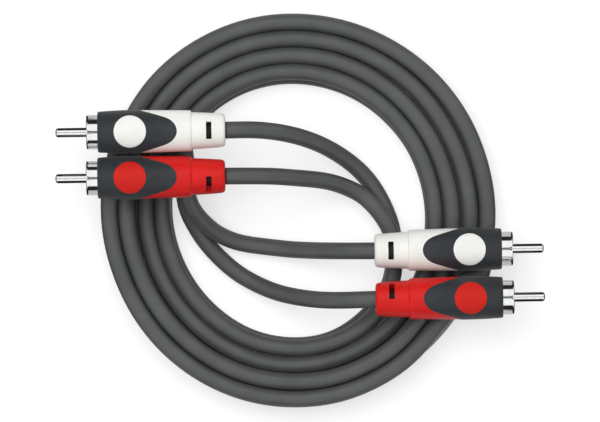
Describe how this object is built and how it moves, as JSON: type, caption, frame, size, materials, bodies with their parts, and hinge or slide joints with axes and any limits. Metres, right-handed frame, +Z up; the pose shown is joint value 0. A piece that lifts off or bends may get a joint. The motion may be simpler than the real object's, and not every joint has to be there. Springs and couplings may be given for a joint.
{
  "type": "rca audio cable",
  "caption": "Stereo phono audio cable: twin grey cord in a flat coil, white and red moulded plugs with dark grips at each end",
  "frame": {"origin": "middle of the coil, on the surface that the cable lies on", "axes": "+X towards the pins of the right-hand plugs, +Z up out of the surface, +Y across the cable"},
  "size_m": [0.1696, 0.1366, 0.0403],
  "materials": {
    "cord_jacket": "satin",
    "grip_plastic": "matt, slightly soft",
    "white_boot": "satin",
    "red_boot": "satin",
    "white_badge": "satin",
    "red_badge": "satin",
    "contact_steel": "polished nickel plate",
    "insulator_plastic": "natural",
    "mould_plastic": "natural",
    "lug_brass": "tinned brass",
    "core_wire": "natural insulation over copper"
  },
  "bodies": {
    "root": {"cord_coil": "cord_jacket", "left_white_pin": "contact_steel", "left_white_insulator": "insulator_plastic", "left_white_ground_shell": "contact_steel", "left_white_ground_lug": "lug_brass", "left_white_core_wire": "core_wire", "left_white_inner_mould": "mould_plastic", "left_white_boot": "white_boot", "left_white_grip": "grip_plastic", "left_white_badge_top": "white_badge", "left_white_badge_bottom": "white_badge", "left_white_cord": "cord_jacket", "left_red_pin": "contact_steel", "left_red_insulator": "insulator_plastic", "left_red_ground_shell": "contact_steel", "left_red_ground_lug": "lug_brass", "left_red_core_wire": "core_wire", "left_red_inner_mould": "mould_plastic", "left_red_boot": "red_boot", "left_red_grip": "grip_plastic", "left_red_badge_top": "red_badge", "left_red_badge_bottom": "red_badge", "left_red_cord": "cord_jacket", "right_white_pin": "contact_steel", "right_white_insulator": "insulator_plastic", "right_white_ground_shell": "contact_steel", "right_white_ground_lug": "lug_brass", "right_white_core_wire": "core_wire", "right_white_inner_mould": "mould_plastic", "right_white_boot": "white_boot", "right_white_grip": "grip_plastic", "right_white_badge_top": "white_badge", "right_white_badge_bottom": "white_badge", "right_white_cord": "cord_jacket", "right_red_pin": "contact_steel", "right_red_insulator": "insulator_plastic", "right_red_ground_shell": "contact_steel", "right_red_ground_lug": "lug_brass", "right_red_core_wire": "core_wire", "right_red_inner_mould": "mould_plastic", "right_red_boot": "red_boot", "right_red_grip": "grip_plastic", "right_red_badge_top": "red_badge", "right_red_badge_bottom": "red_badge", "right_red_cord": "cord_jacket"}
  },
  "joints": []
}
